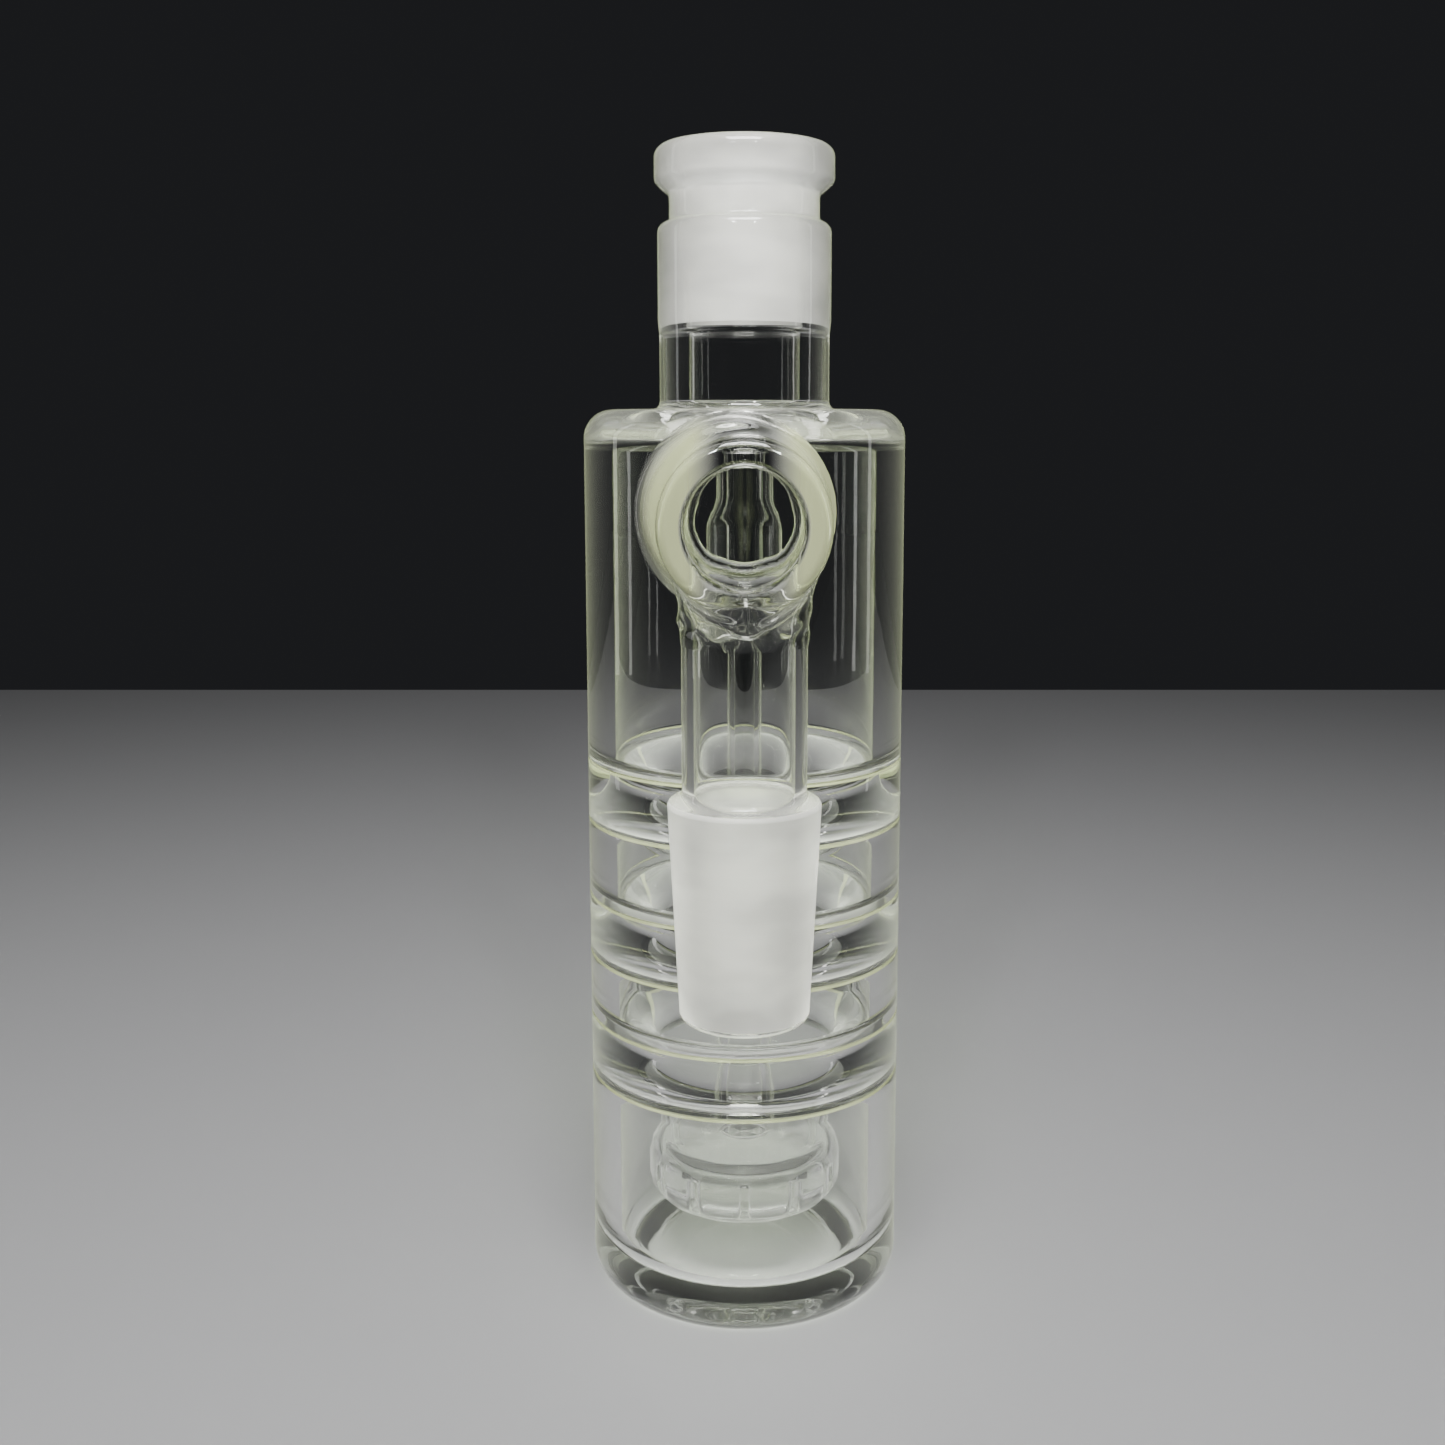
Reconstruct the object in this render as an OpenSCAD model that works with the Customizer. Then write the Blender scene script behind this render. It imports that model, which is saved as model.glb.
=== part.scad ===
// All-glass bubbler attachment: a stoppered-joint gas-washing chamber with three
// splash rings, a slotted diffuser on a down tube, and a side arm that turns down
// into a male ground joint. Origin: centre of the ring that the base stands on.
// +Z runs up the chamber axis and the side arm points along -Y.

/* [Chamber] */
// Outer diameter of the chamber tube
chamber_d = 45; // [40:0.5:52]
// Wall thickness of the chamber tube
chamber_wall = 4; // [3:0.1:5]
// Height of the flat top of the shoulder above the table
shoulder_z = 126.8; // [122:0.1:135]
// Radius of the shoulder's outer edge
shoulder_round = 4; // [2:0.1:4.5]
// Thickness of the shoulder plate
shoulder_t = 4; // [3:0.1:5]

/* [Base] */
// Height of the base piece, where the chamber wall is sealed to it
base_h = 10; // [9.5:0.1:12]
// Radius of the outer heel
heel_round = 3.5; // [2:0.1:4]
// Radius of the ring that the underside dome starts from
punt_r = 17.5; // [15:0.1:18]
// Height of the underside dome
punt_rise = 4.5; // [2:0.1:5]
// Glass thickness at the middle of the base
base_t = 3.8; // [3:0.1:4.5]

/* [Splash rings] */
// Thickness of each splash ring
ring_t = 8.6; // [6:0.1:9]
// Radius of the hole through each splash ring
ring_hole_r = 13.2; // [11:0.1:14]
// Height of the lower ring's mid plane
ring_lower_z = 36; // [33:0.1:38]
// Height of the middle ring's mid plane
ring_middle_z = 53.8; // [50:0.1:58]
// Height of the upper ring's mid plane
ring_upper_z = 73.4; // [70:0.1:78]
// Depth of the small groove along each seam with the wall
seam = 0.25; // [0.1:0.05:0.5]

/* [Neck and female joint] */
// Outer diameter of the neck
neck_d = 23.7; // [22.5:0.1:24]
// Inner diameter of the neck
neck_bore = 15.4; // [14.6:0.1:16]
// Radius of the fillet between the shoulder and the neck
neck_fillet = 1.2; // [1:0.1:3]
// Diameter of the ground bore at its mouth
joint_d = 18.8; // [18.7:0.1:18.9]
// Length of the ground zone of both joints
joint_len = 26; // [24:0.5:27]
// Outer diameter of the joint's collar
collar_d = 24.1; // [23.8:0.1:25]
// Outer diameter of the rim
rim_d = 24.9; // [24:0.1:26]
// Diameter at the groove under the rim
groove_d = 20.8; // [20.6:0.1:22]
// Height of the rim's top above the table
total_h = 162.6; // [158:0.1:168]
// Height of the rim
rim_h = 6.6; // [5.6:0.1:7]
// Height of the groove
groove_h = 3.6; // [2.5:0.1:5]
// Radius of the rim's edges
rim_round = 1.7; // [0.8:0.1:2]
// Radius of the collar's top edge
collar_round = 1.6; // [0.8:0.1:1.6]

/* [Down tube and diffuser] */
// Outer diameter of the down tube
down_d = 8; // [7:0.1:9]
// Wall thickness of the down tube
down_wall = 1.5; // [1:0.1:1.8]
// Outer diameter of the diffuser
head_d = 28.4; // [24:0.1:31]
// Height of the diffuser's underside above the table
head_z = 11.6; // [10:0.1:12]
// Height of the diffuser
head_h = 9.4; // [9.4:0.1:12]
// Wall thickness of the diffuser
head_wall = 1.8; // [1.2:0.1:2.2]
// Radius of the diffuser's lower edge
head_round_low = 4.5; // [3.5:0.1:4.5]
// Radius of the diffuser's upper edge
head_round_top = 2.6; // [2.6:0.1:4]
// Number of slots round the diffuser
slot_count = 12; // [6:1:16]
// Width of each slot
slot_w = 1.1; // [0.8:0.1:1.6]

/* [Side arm] */
// Height of the arm's axis above the table
arm_z = 113.3; // [112:0.1:114]
// Outer diameter of the arm
arm_d = 20.3; // [19:0.1:21]
// Bore of the arm
arm_bore = 14.4; // [13:0.1:15]
// Diameter of the hole through the chamber wall
port_d = 12.4; // [10:0.1:13]
// Distance from the chamber axis to the arm's flat front
arm_front = 46; // [45.5:0.1:48]
// Thickness of the flat window that closes the arm
window_t = 2.6; // [2:0.1:3]
// Radius of the window's front edge
window_round = 1.3; // [0.5:0.1:1.8]
// Radius of the weld where the arm meets the chamber
weld_r = 12.6; // [11:0.1:12.8]
// Sideways offset of that weld, as the glassblower left it
weld_shift = 0.7; // [0:0.1:0.8]

/* [Drop tube and male joint] */
// Distance from the chamber axis to the drop tube's axis
drop_y = 36.5; // [35:0.1:37]
// Outer diameter of the drop tube
drop_d = 15.2; // [14:0.1:16]
// Wall thickness of the drop tube
drop_wall = 1.45; // [1.2:0.05:2]
// Outer diameter of the weld at the top of the drop tube
drop_weld_d = 16.4; // [16:0.1:17]
// Height of the weld at the top of the drop tube
drop_weld_h = 5; // [3:0.1:7]
// Height of the wide end of the ground cone above the table
cone_z = 79; // [78:0.1:82]
// Height of the clear shoulder above the ground cone
cone_shoulder_h = 2.2; // [2:0.1:4]
// Bore at the tip of the male joint
cone_bore = 11.4; // [10:0.1:12]
// Radius of the joint's tip
tip_round = 0.9; // [0.5:0.1:1.2]

/* [Hidden] */
$fn = 96;
eps = 0.01;
glass = [0.86, 0.93, 0.84, 0.45];
frosted = [0.93, 0.93, 0.90, 0.95];

chamber_r = chamber_d / 2;
bore_r = chamber_r - chamber_wall;
// A ground joint tapers 1 mm in diameter for each 10 mm of length
joint_r = joint_d / 2;
joint_small_r = joint_r - joint_len / 20;
// Inner floor: a rounded corner at the wall and a dome in the middle
floor_round = 3.5;
floor_z = 4.6;
floor_top = punt_rise + base_t;
punt_sphere = (punt_r * punt_r + punt_rise * punt_rise) / (2 * punt_rise);
dome_r = 15.5;
dome_rise = floor_top - floor_z;
dome_sphere = (dome_r * dome_r + dome_rise * dome_rise) / (2 * dome_rise);
// Heights where the wall pieces are sealed together
shoulder_low = shoulder_z - shoulder_t - 1.6;
neck_low = shoulder_z + neck_fillet;
joint_low = total_h - joint_len;
collar_top = total_h - rim_h - groove_h;
neck_r = neck_d / 2;
// Diffuser
head_r = head_d / 2;
head_top = head_z + head_h;
cap_low = head_top - head_wall - 0.3;
slot_low = head_z + 2.2;
slot_high = cap_low - 0.6;
down_r = down_d / 2;
seal_low = shoulder_low;
// Side arm
arm_r = arm_d / 2;
arm_tube_front = arm_front - window_t;
weld_in = chamber_r - 5.5;
weld_out = chamber_r + 4.5;
drop_r = drop_d / 2;
drop_weld_low = arm_z - arm_r - drop_weld_h + 0.6;
cone_low = cone_z - joint_len;
tip_len = 0.8;

// A tube about the Z axis, as a true revolved ring
module tube_z(r_out, r_in, z_low, z_high) {
    rotate_extrude()
        translate([r_in, z_low])
            square([r_out - r_in, z_high - z_low]);
}

// A rectangle from the axis outwards, used to build profiles
module slab(r_from, r_to, z_low, z_high) {
    translate([r_from, z_low])
        square([r_to - r_from, z_high - z_low]);
}

// Turns a revolved shape so that its axis runs along -Y at the arm's height
module on_arm_axis() {
    translate([0, 0, arm_z])
        rotate([90, 0, 0])
            children();
}

// Places a shape on the drop tube's axis
module on_drop_axis() {
    translate([0, -drop_y, 0])
        children();
}

// Outer outline of the chamber above its base
module chamber_profile() {
    slab(0, chamber_r, base_h, shoulder_z - shoulder_round);
    slab(0, chamber_r - shoulder_round, base_h, shoulder_z);
    translate([chamber_r - shoulder_round, shoulder_z - shoulder_round])
        circle(shoulder_round);
}

// The solid space that the chamber takes up, without its hollow
module chamber_envelope() {
    rotate_extrude()
        chamber_profile();
}

module base_outer_profile() {
    slab(0, chamber_r, heel_round, base_h);
    slab(0, chamber_r - heel_round, 0, heel_round + eps);
    translate([chamber_r - heel_round, heel_round])
        circle(heel_round);
}

module base_hollow_profile() {
    difference() {
        union() {
            slab(0, bore_r, floor_z + floor_round, base_h + 1);
            slab(0, bore_r - floor_round, floor_z, base_h + 1);
            translate([bore_r - floor_round, floor_z + floor_round])
                circle(floor_round);
        }
        translate([0, floor_top - dome_sphere])
            circle(dome_sphere);
    }
}

module base() {
    color(glass)
        rotate_extrude()
            intersection() {
                slab(0, chamber_r + 1, -1, base_h + 2);
                difference() {
                    base_outer_profile();
                    base_hollow_profile();
                    translate([0, punt_rise - punt_sphere])
                        circle(punt_sphere);
                }
            }
}

module wall_piece(z_low, z_high) {
    color(glass)
        tube_z(chamber_r, bore_r, z_low, z_high);
}

// A thick ring with a fully rounded lip, grooved along both outer seams
module splash_ring(z) {
    lip = ring_t / 2;
    color(glass)
        translate([0, 0, z])
            rotate_extrude()
                union() {
                    polygon([
                        [ring_hole_r + lip, -lip],
                        [chamber_r - seam, -lip],
                        [chamber_r, seam - lip],
                        [chamber_r, lip - seam],
                        [chamber_r - seam, lip],
                        [ring_hole_r + lip, lip]
                    ]);
                    translate([ring_hole_r + lip, 0])
                        intersection() {
                            circle(lip);
                            translate([-lip, -lip])
                                square([lip + eps, ring_t]);
                        }
                }
}

module upper_wall() {
    color(glass)
        difference() {
            tube_z(chamber_r, bore_r, ring_upper_z + ring_t / 2, shoulder_low);
            on_arm_axis()
                cylinder(d = port_d, h = chamber_r + 1);
        }
}

module shoulder() {
    color(glass)
        rotate_extrude()
            difference() {
                union() {
                    intersection() {
                        chamber_profile();
                        slab(neck_bore / 2, chamber_r, shoulder_low, shoulder_z);
                    }
                    slab(neck_bore / 2, neck_r + neck_fillet, shoulder_z - 1, neck_low);
                }
                translate([neck_r + neck_fillet, neck_low])
                    circle(neck_fillet);
                slab(neck_bore / 2 + 2.5, bore_r, shoulder_low - 1, shoulder_z - shoulder_t);
            }
}

module neck() {
    color(glass)
        tube_z(neck_r, neck_bore / 2, neck_low, joint_low);
}

// Collar, groove and rim round a tapered ground bore
module female_joint() {
    color(frosted)
        rotate_extrude()
            difference() {
                union() {
                    slab(1, collar_d / 2, joint_low, collar_top - collar_round);
                    slab(1, collar_d / 2 - collar_round, joint_low, collar_top);
                    translate([collar_d / 2 - collar_round, collar_top - collar_round])
                        circle(collar_round);
                    slab(1, groove_d / 2, joint_low, total_h - rim_h + 1);
                    slab(1, rim_d / 2, total_h - rim_h + rim_round, total_h - rim_round);
                    slab(1, rim_d / 2 - rim_round, total_h - rim_h, total_h);
                    for (z = [total_h - rim_h + rim_round, total_h - rim_round])
                        translate([rim_d / 2 - rim_round, z])
                            circle(rim_round);
                }
                polygon([
                    [0, joint_low - 1],
                    [joint_small_r, joint_low - 1],
                    [joint_small_r, joint_low],
                    [joint_r, total_h],
                    [joint_r, total_h + 1],
                    [0, total_h + 1]
                ]);
            }
}

// Funnel that closes the neck round the top of the down tube
module ring_seal() {
    color(glass)
        rotate_extrude()
            polygon([
                [down_r - down_wall, seal_low],
                [down_r, seal_low],
                [down_r, seal_low + 0.8],
                [neck_bore / 2, shoulder_z - 1.2],
                [neck_bore / 2, neck_low],
                [down_r - down_wall, seal_low + 2.6]
            ]);
}

module down_tube() {
    color(glass)
        tube_z(down_r, down_r - down_wall, head_top, seal_low);
}

// Outer outline of the diffuser, grown inwards by "inset"
module head_profile(inset) {
    low = head_round_low - inset;
    top = head_round_top - inset;
    r = head_r - inset;
    bottom_z = head_z + inset;
    top_z = head_top - inset;
    slab(0, r, bottom_z + low, top_z - top);
    slab(0, r - low, bottom_z, bottom_z + low + eps);
    slab(0, r - top, top_z - top - eps, top_z);
    translate([r - low, bottom_z + low])
        circle(low);
    translate([r - top, top_z - top])
        circle(top);
}

module head_shell(z_low, z_high) {
    rotate_extrude()
        intersection() {
            slab(0, head_r + 1, z_low, z_high);
            difference() {
                head_profile(0);
                head_profile(head_wall);
            }
        }
}

module diffuser_cap() {
    color(glass)
        difference() {
            head_shell(cap_low, head_top + 1);
            translate([0, 0, cap_low - 1])
                cylinder(r = down_r - down_wall, h = head_h);
        }
}

// Lower part of the diffuser with upright slots all round
module diffuser_cup() {
    color(glass)
        difference() {
            head_shell(head_z - 1, cap_low);
            for (i = [0 : slot_count - 1])
                rotate([0, 0, i * 360 / slot_count])
                    translate([-slot_w / 2, -head_r - 1, slot_low])
                        cube([slot_w, head_wall + 3, slot_high - slot_low]);
        }
}

// Flared weld between the side arm and the outside of the chamber
module arm_weld() {
    color(glass)
        difference() {
            on_arm_axis()
                translate([-weld_shift, 0, weld_in])
                    cylinder(r1 = weld_r, r2 = arm_r + 0.7, h = weld_out - weld_in);
            chamber_envelope();
            on_arm_axis()
                cylinder(d = arm_bore, h = weld_out + 1);
        }
}

module side_arm() {
    color(glass)
        difference() {
            on_arm_axis()
                translate([0, 0, weld_out])
                    tube_z(arm_r, arm_bore / 2, 0, arm_tube_front - weld_out);
            on_drop_axis()
                translate([0, 0, arm_z - arm_r - 1])
                    cylinder(r = drop_r - drop_wall, h = arm_r);
        }
}

module arm_window() {
    color(glass)
        on_arm_axis()
            translate([0, 0, arm_tube_front])
                rotate_extrude() {
                    slab(0, arm_r, 0, window_t - window_round);
                    slab(0, arm_r - window_round, 0, window_t);
                    translate([arm_r - window_round, window_t - window_round])
                        intersection() {
                            circle(window_round);
                            translate([-window_round, -eps])
                                square(2 * window_round);
                        }
                }
}

// Thickened weld where the drop tube joins the underside of the arm
module drop_weld() {
    color(glass)
        difference() {
            on_drop_axis()
                rotate_extrude() {
                    slab(drop_r - drop_wall, drop_weld_d / 2, drop_weld_low + 1.5, arm_z - 2);
                    polygon([
                        [drop_r - drop_wall, drop_weld_low],
                        [drop_r, drop_weld_low],
                        [drop_weld_d / 2, drop_weld_low + 1.5],
                        [drop_r - drop_wall, drop_weld_low + 1.5]
                    ]);
                }
            on_arm_axis()
                cylinder(r = arm_r, h = arm_front + 5);
        }
}

module drop_tube() {
    color(glass)
        on_drop_axis()
            tube_z(drop_r, drop_r - drop_wall, cone_z + cone_shoulder_h, drop_weld_low);
}

// Clear shoulder, ground cone and rounded tip, with a bore right through
module male_joint() {
    tip_r = joint_small_r - tip_len / 20;
    color(frosted)
        on_drop_axis()
            rotate_extrude()
                difference() {
                    union() {
                        polygon([
                            [1, cone_low],
                            [joint_small_r, cone_low],
                            [joint_r, cone_z],
                            [joint_r - 0.6, cone_z + 0.8],
                            [drop_r + 0.6, cone_z + cone_shoulder_h - 1.4],
                            [drop_r, cone_z + cone_shoulder_h],
                            [1, cone_z + cone_shoulder_h]
                        ]);
                        slab(1, tip_r - tip_round, cone_low - tip_len, cone_low + 1);
                        translate([tip_r - tip_round, cone_low - tip_len + tip_round])
                            circle(tip_round);
                    }
                    polygon([
                        [0, cone_low - tip_len - 1],
                        [cone_bore / 2, cone_low - tip_len - 1],
                        [cone_bore / 2, cone_z - 1],
                        [drop_r - drop_wall, cone_z + cone_shoulder_h],
                        [drop_r - drop_wall, cone_z + cone_shoulder_h + 1],
                        [0, cone_z + cone_shoulder_h + 1]
                    ]);
                }
}

base();
wall_piece(base_h, ring_lower_z - ring_t / 2);  // lower_wall
splash_ring(ring_lower_z);  // splash_ring_lower
wall_piece(ring_lower_z + ring_t / 2, ring_middle_z - ring_t / 2);  // lower_spacer_wall
splash_ring(ring_middle_z);  // splash_ring_middle
wall_piece(ring_middle_z + ring_t / 2, ring_upper_z - ring_t / 2);  // upper_spacer_wall
splash_ring(ring_upper_z);  // splash_ring_upper
upper_wall();
shoulder();
neck();
female_joint();
ring_seal();
down_tube();
diffuser_cap();
diffuser_cup();
arm_weld();
side_arm();
arm_window();
drop_weld();
drop_tube();
male_joint();
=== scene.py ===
"""Looks of the fused glass bubbler attachment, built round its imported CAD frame.

The glass is drawn as one optical body: each CAD node has its own closed mesh, and the faces
where two pieces are fused carry a material that light passes straight through. Lengths in the
helper functions are millimetres in the CAD frame, and the meshes are written in metres.
"""

import math

import bmesh
import bpy
import numpy as np
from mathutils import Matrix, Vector
from mathutils.geometry import delaunay_2d_cdt


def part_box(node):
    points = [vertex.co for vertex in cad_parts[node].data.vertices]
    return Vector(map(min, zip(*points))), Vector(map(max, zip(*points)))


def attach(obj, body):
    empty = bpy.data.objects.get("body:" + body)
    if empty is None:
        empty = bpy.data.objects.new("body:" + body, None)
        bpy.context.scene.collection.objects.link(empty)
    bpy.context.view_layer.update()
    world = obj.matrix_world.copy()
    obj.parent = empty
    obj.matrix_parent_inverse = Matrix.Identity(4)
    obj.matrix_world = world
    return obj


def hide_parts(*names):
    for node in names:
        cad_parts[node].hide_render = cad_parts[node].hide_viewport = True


MM = 0.001
# the last tag marks faces that get painted white highlights at a slant
SKIN, SEAL, GROUND, SEAM, SLANT_HIGHLIGHT = range(5)
SEAL_GAP = 0.01
LATHE_STEPS = 160
TUBE_STEPS = 96
JOINT_STEPS = 128
SHOULDER_STEPS = 480
SHARP_ANGLE = math.radians(32)
GLASS_IOR = 1.474

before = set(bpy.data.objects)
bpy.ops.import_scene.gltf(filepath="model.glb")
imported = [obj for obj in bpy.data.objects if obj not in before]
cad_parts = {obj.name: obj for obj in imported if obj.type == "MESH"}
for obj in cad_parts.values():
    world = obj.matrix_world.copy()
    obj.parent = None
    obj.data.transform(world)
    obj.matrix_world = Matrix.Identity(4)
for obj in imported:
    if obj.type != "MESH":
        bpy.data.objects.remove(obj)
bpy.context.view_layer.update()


# ---------------------------------------------------------------- sizes from the frame


def low(node, axis):
    """Lowest coordinate of a CAD node along axis 0, 1 or 2, in millimetres."""
    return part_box(node)[0][axis] / MM


def high(node, axis):
    """Highest coordinate of a CAD node along axis 0, 1 or 2, in millimetres."""
    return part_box(node)[1][axis] / MM


CHAMBER_R = high("lower_wall", 0)
CHAMBER_WALL = 4.0
BORE_R = CHAMBER_R - CHAMBER_WALL
HEEL_ROUND = 3.5
PUNT_R = 17.5
PUNT_RISE = 4.5
BASE_T = 3.8
BASE_H = high("base", 2)
SHOULDER_LOW = low("shoulder", 2)
SHOULDER_ROUND = 4.0
SHOULDER_H = 5.6
SHOULDER_Z = SHOULDER_LOW + SHOULDER_H
SEAL_TOP = SHOULDER_Z - 1.2
SHOULDER_UNDER = SHOULDER_Z - CHAMBER_WALL
UNDER_ROUND = 1.6
NECK_LOW = low("neck", 2)
NECK_R = high("neck", 0)
NECK_BORE_R = 7.7
JOINT_LOW = low("female_joint", 2)
JOINT_TOP = high("female_joint", 2)
RIM_R = high("female_joint", 0)
JOINT_R = 9.4
JOINT_SMALL_R = 8.1
DOWN_R = high("down_tube", 0)
DOWN_BORE_R = DOWN_R - 1.5
HEAD_R = high("diffuser_cup", 0)
HEAD_LOW = low("diffuser_cup", 2)
HEAD_TOP = high("diffuser_cap", 2)
CAP_LOW = low("diffuser_cap", 2)
ARM_Z = (low("arm_window", 2) + high("arm_window", 2)) / 2
ARM_R = high("arm_window", 0)
ARM_BORE_R = 7.2
ARM_FRONT = -low("arm_window", 1)
ARM_TUBE_FRONT = -high("arm_window", 1)
WELD_OUT = -low("arm_weld", 1)
PORT_R = 6.2
DROP_Y = -(low("drop_tube", 1) + high("drop_tube", 1)) / 2
DROP_R = high("drop_tube", 0)
DROP_BORE_R = DROP_R - 1.45
DROP_TOP = high("drop_tube", 2)
WELD_TOP = ARM_Z - ARM_R
CONE_TOP = high("male_joint", 2)
CONE_R = high("male_joint", 0)
CONE_SHOULDER_H = 2.2
CONE_Z = CONE_TOP - CONE_SHOULDER_H
CONE_TIP = low("male_joint", 2)
CONE_SMALL_R = CONE_R - 1.3
CONE_BORE_R = 5.7


# ---------------------------------------------------------------- materials


def new_material(name):
    """An empty node material and its node tree."""
    mat = bpy.data.materials.new(name)
    mat.use_nodes = True
    mat.node_tree.nodes.clear()
    return mat, mat.node_tree


def add(nt, kind, **values):
    """Adds a node and sets its properties or, by socket name, its inputs."""
    node = nt.nodes.new(kind)
    for key, value in values.items():
        if hasattr(node, key):
            setattr(node, key, value)
        else:
            node.inputs[key.replace("_", " ")].default_value = value
    return node


def coords(nt, scale):
    """Object coordinates in metres, stretched by scale."""
    tex = add(nt, "ShaderNodeTexCoord")
    mapping = add(nt, "ShaderNodeMapping")
    mapping.inputs["Scale"].default_value = scale
    nt.links.new(tex.outputs["Object"], mapping.inputs["Vector"])
    return mapping.outputs[0]


def clear_for_lamps(nt, shader, clearness):
    """Lets part of the light from lamps through, so that the glass casts a pale shadow."""
    path = add(nt, "ShaderNodeLightPath")
    transparent = add(nt, "ShaderNodeBsdfTransparent")
    transparent.inputs[0].default_value = (*clearness, 1)
    mix = add(nt, "ShaderNodeMixShader")
    nt.links.new(path.outputs["Is Shadow Ray"], mix.inputs[0])
    nt.links.new(shader, mix.inputs[1])
    nt.links.new(transparent.outputs[0], mix.inputs[2])
    return mix.outputs[0]


def slant(nt, power):
    """Rises from 0 where glass is met head on to 1 where it is met at a slant."""
    weight = add(nt, "ShaderNodeLayerWeight", Blend=0.5)
    curve = add(nt, "ShaderNodeMath", operation="POWER")
    curve.inputs[1].default_value = power
    nt.links.new(weight.outputs["Facing"], curve.inputs[0])
    return curve.outputs[0]


def blend_colours(nt, factor, start, end):
    """Goes from colour start to colour end as factor rises from 0 to 1."""
    tint = add(nt, "ShaderNodeMix", data_type="RGBA")
    tint.inputs[6].default_value = (*start, 1)
    tint.inputs[7].default_value = (*end, 1)
    nt.links.new(factor, tint.inputs[0])
    return tint.outputs[2]


def less(nt, factor, share):
    """One minus a share of a factor."""
    rest = add(nt, "ShaderNodeMath", operation="MULTIPLY_ADD")
    rest.inputs[1].default_value = -share
    rest.inputs[2].default_value = 1.0
    nt.links.new(factor, rest.inputs[0])
    return rest.outputs[0]


def ramp(nt, value, start, end):
    """Rises smoothly from 0 to 1 as a value goes from start to end."""
    step = add(nt, "ShaderNodeMapRange", interpolation_type="SMOOTHSTEP")
    step.inputs["From Min"].default_value = start
    step.inputs["From Max"].default_value = end
    nt.links.new(value, step.inputs["Value"])
    return step.outputs[0]


def combine(nt, operation, one, other):
    """Result of a maths operation on two values."""
    result = add(nt, "ShaderNodeMath", operation=operation)
    nt.links.new(one, result.inputs[0])
    nt.links.new(other, result.inputs[1])
    return result.outputs[0]


def draw_lines(nt, strength):
    """Bump of fine upright draw lines on a slow waviness, as flame-worked tube has."""
    lines = add(nt, "ShaderNodeTexNoise", Scale=1.0, Detail=3.0, Roughness=0.5)
    nt.links.new(coords(nt, (900, 900, 12)), lines.inputs["Vector"])
    waves = add(nt, "ShaderNodeTexNoise", Scale=1.0, Detail=1.0, Roughness=0.4)
    nt.links.new(coords(nt, (90, 90, 60)), waves.inputs["Vector"])
    both = add(nt, "ShaderNodeMath", operation="MULTIPLY_ADD")
    both.inputs[1].default_value = 0.25
    nt.links.new(lines.outputs[0], both.inputs[0])
    nt.links.new(waves.outputs[0], both.inputs[2])
    bump = add(nt, "ShaderNodeBump")
    bump.inputs["Strength"].default_value = strength
    bump.inputs["Distance"].default_value = 0.0004
    nt.links.new(both.outputs[0], bump.inputs["Height"])
    return bump.outputs[0]


def smears(nt, most):
    """Roughness of a surface with a few handling smears."""
    smear = add(nt, "ShaderNodeTexNoise", Scale=1.0, Detail=6.0, Roughness=0.65)
    nt.links.new(coords(nt, (140, 140, 60)), smear.inputs["Vector"])
    amount = add(nt, "ShaderNodeMapRange")
    amount.inputs["From Min"].default_value = 0.5
    amount.inputs["From Max"].default_value = 0.8
    amount.inputs["To Min"].default_value = 0.0
    amount.inputs["To Max"].default_value = most
    nt.links.new(smear.outputs[0], amount.inputs["Value"])
    return amount.outputs[0]


def clear_glass(name, body, glow=(0.80, 0.90, 0.50)):
    """Fire-polished borosilicate with draw lines and faint smears.

    body feeds its tint and a painted pale glow on the edges, and glow is the colour of a sheen
    layer that paints a further pale glow on the edges in soft light.
    """
    mat, nt = new_material(name)
    out = add(nt, "ShaderNodeOutputMaterial")
    glass = add(nt, "ShaderNodeBsdfPrincipled")
    glass.inputs["IOR"].default_value = GLASS_IOR
    # sheen layer: a painted pale glow along the edges, in place of light carried inside the glass
    glass.inputs["Sheen Weight"].default_value = 0.22
    glass.inputs["Sheen Roughness"].default_value = 0.25
    glass.inputs["Sheen Tint"].default_value = (*glow, 1)
    body(nt, glass)
    nt.links.new(draw_lines(nt, 0.05), glass.inputs["Normal"])
    nt.links.new(smears(nt, 0.06), glass.inputs["Roughness"])
    surface = clear_for_lamps(nt, glass.outputs[0], (0.93, 0.95, 0.91))
    nt.links.new(surface, out.inputs["Surface"])
    return mat


def wall_body(nt, glass):
    """Colourless head on; pale yellow-green where the path through the wall is long, with a painted
    pale glow on the edges.
    """
    colour = blend_colours(nt, slant(nt, 3.0), (0.985, 0.99, 0.975), (0.86, 0.92, 0.62))
    nt.links.new(colour, glass.inputs["Base Color"])
    # less transmission at a slant: the diffuse share paints a pale glow on the edges, in place of
    # light carried in the wall
    nt.links.new(less(nt, slant(nt, 5.0), 0.45), glass.inputs["Transmission Weight"])


def highlight_body(nt, glass):
    """Thin flame-shaped glass with painted white highlights: a white diffuse share wherever it is
    met at a slant.
    """
    colour = blend_colours(nt, slant(nt, 3.0), (0.985, 0.99, 0.98), (0.95, 0.97, 0.90))
    nt.links.new(colour, glass.inputs["Base Color"])
    # painted highlight: the white diffuse share rises at a slant
    nt.links.new(less(nt, slant(nt, 3.0), 0.6), glass.inputs["Transmission Weight"])


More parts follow.
